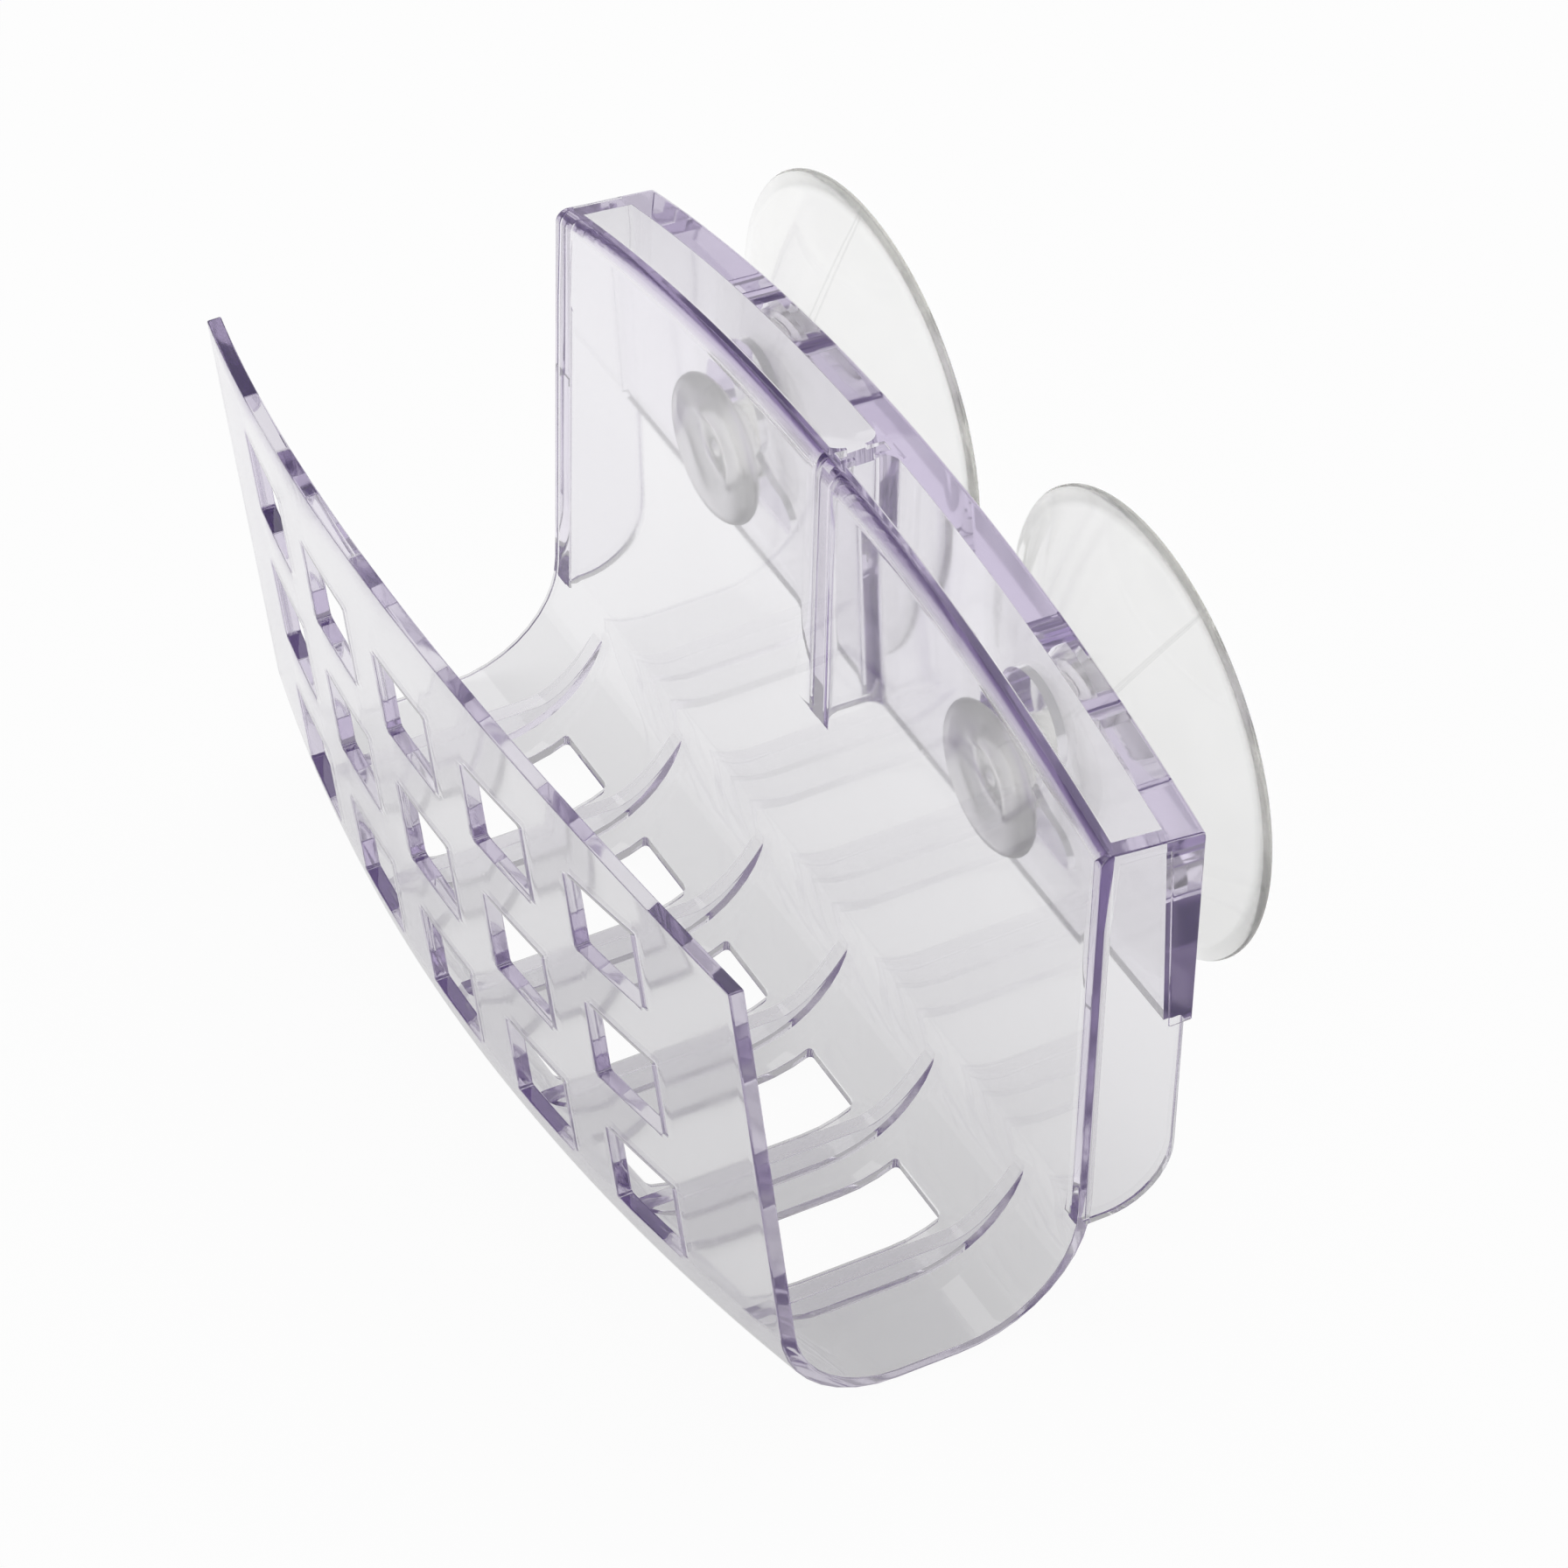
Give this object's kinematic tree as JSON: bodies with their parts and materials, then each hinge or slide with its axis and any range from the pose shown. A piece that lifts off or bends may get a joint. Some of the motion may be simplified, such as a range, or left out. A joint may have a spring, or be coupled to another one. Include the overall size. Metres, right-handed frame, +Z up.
{
  "type": "soap dish",
  "caption": "Clear open-ended soap cradle with a pierced front wall and slotted ribbed floor, hung on a tiled wall by soft suction cups that slide in keyholes under an arched hood.",
  "frame": {"origin": "on the face of the tile, midway between the two suction cups, at the height of the cup axes while the cups rest at the foot of their keyholes", "axes": "+X along the dish, to the right of someone who faces the wall; +Y into the wall; +Z up"},
  "size_m": [0.124, 0.0769, 0.0807],
  "materials": {
    "clear_plastic": "clear polished moulding",
    "soft_vinyl": "milky translucent soft vinyl"
  },
  "bodies": {
    "dish": {"dish": "clear_plastic"},
    "cup_left": {"suction_cup_left": "soft_vinyl"},
    "cup_right": {"suction_cup_right": "soft_vinyl"}
  },
  "joints": [
    {"name": "cup_left_slide", "type": "slide", "parent": "dish", "child": "cup_left", "axis": [0, 0, 1], "range_m": [0, 0.007]},
    {"name": "cup_right_slide", "type": "slide", "parent": "dish", "child": "cup_right", "axis": [0, 0, 1], "range_m": [0, 0.007]}
  ]
}
